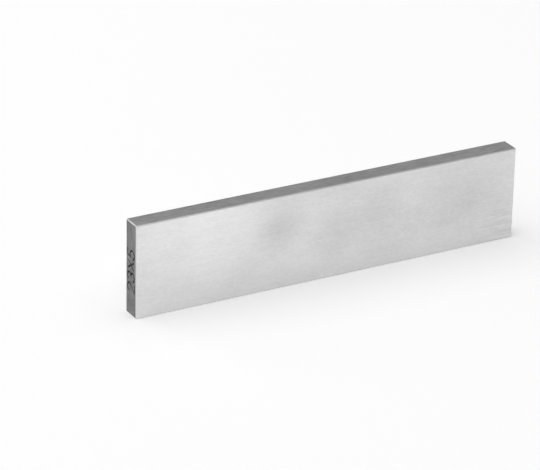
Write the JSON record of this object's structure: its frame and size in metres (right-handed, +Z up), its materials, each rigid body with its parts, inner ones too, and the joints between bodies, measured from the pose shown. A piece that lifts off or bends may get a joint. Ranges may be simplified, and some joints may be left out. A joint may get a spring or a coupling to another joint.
{
  "type": "precision parallel",
  "caption": "Slim hardened steel bar with flat ground faces and broken edges, set under or beside a workpiece to hold it level and parallel in a vice or on a machine table.",
  "frame": {"origin": "middle of the narrow long face that the bar rests on", "axes": "+X along the length, away from the end that carries the size numbers; +Y across the thickness, from the pictured wide face to the other; +Z up the height, from the resting face to the face that carries the work"},
  "size_m": [0.1, 0.005, 0.023],
  "materials": {
    "ground_steel": "fine ground lay along the length, bare metal"
  },
  "bodies": {
    "root": {"parallel_bar": "ground_steel"}
  },
  "joints": []
}
